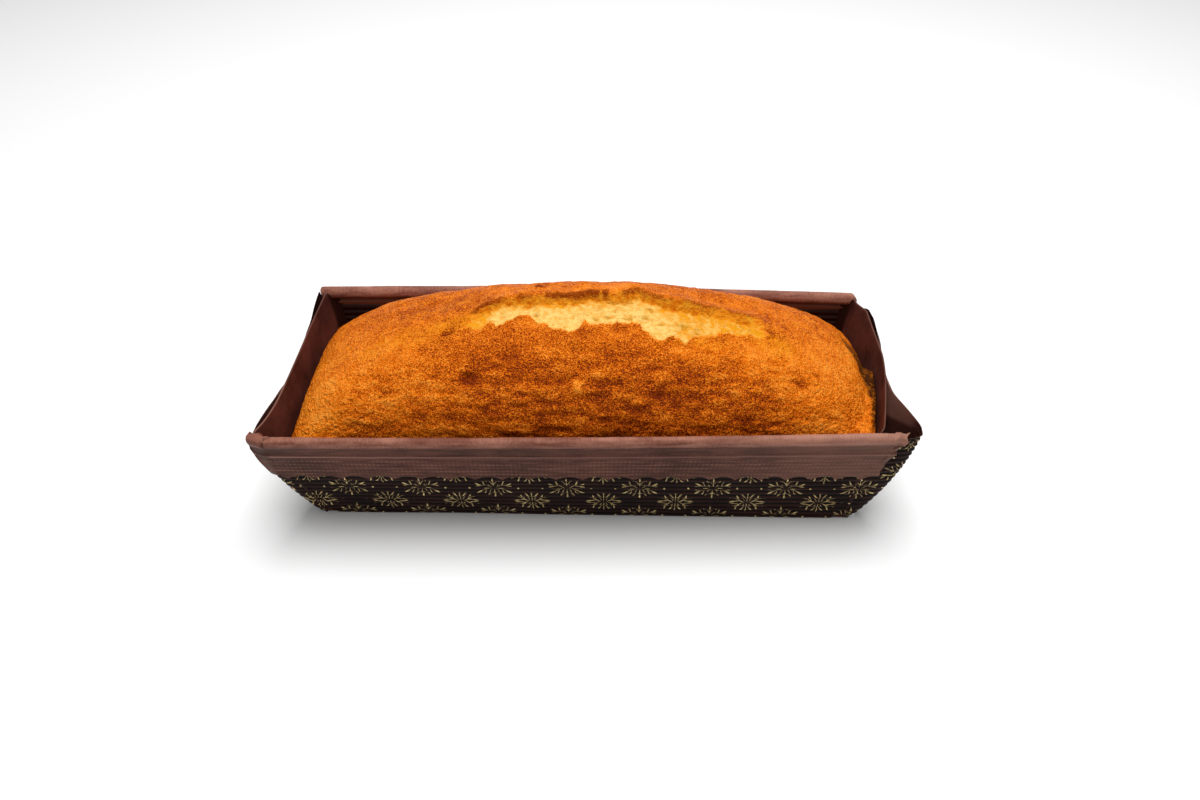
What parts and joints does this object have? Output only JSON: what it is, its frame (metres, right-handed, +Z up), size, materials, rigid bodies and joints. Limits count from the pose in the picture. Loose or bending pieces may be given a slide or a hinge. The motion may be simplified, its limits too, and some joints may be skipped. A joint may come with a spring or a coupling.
{
  "type": "loaf cake",
  "caption": "Whole loaf cake, domed and torn along its crest, in a flared paper baking case with folded corners and a turned, scalloped rim.",
  "frame": {"origin": "Middle of the flat underside of the paper case, on the surface that it stands on.", "axes": "+X along the loaf to the end whose wall is pushed in, +Y across it to the back, +Z up."},
  "size_m": [0.2261, 0.0902, 0.0678],
  "materials": {
    "cake": "matte",
    "case_paper": "matte",
    "rim_paper": "satin"
  },
  "bodies": {
    "root": {"cake": "cake", "paper_case": "case_paper", "turned_rim_front": "rim_paper", "turned_rim_back": "rim_paper"}
  },
  "joints": []
}
